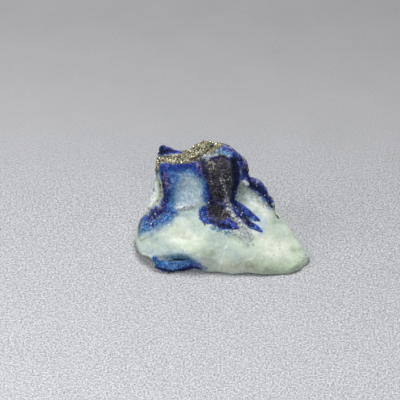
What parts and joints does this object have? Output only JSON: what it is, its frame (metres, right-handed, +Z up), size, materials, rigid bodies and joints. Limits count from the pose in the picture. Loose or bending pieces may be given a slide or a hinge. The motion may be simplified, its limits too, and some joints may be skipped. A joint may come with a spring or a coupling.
{
  "type": "afghanite specimen",
  "caption": "Small rough mineral specimen of blue afghanite in pale green-white matrix with a pyrite band, lying on a small flat spot.",
  "frame": {"origin": "middle of the box's underside, on the surface the stone lies on", "axes": "+Z up, +X along the long side towards the thin tip, +Y away from the viewer, towards the upright knob's back"},
  "size_m": [0.022, 0.015, 0.0123],
  "materials": {
    "rock": "rough broken mineral, waxy on the pale matrix and granular on the blue"
  },
  "bodies": {
    "root": {"specimen": "rock"}
  },
  "joints": []
}
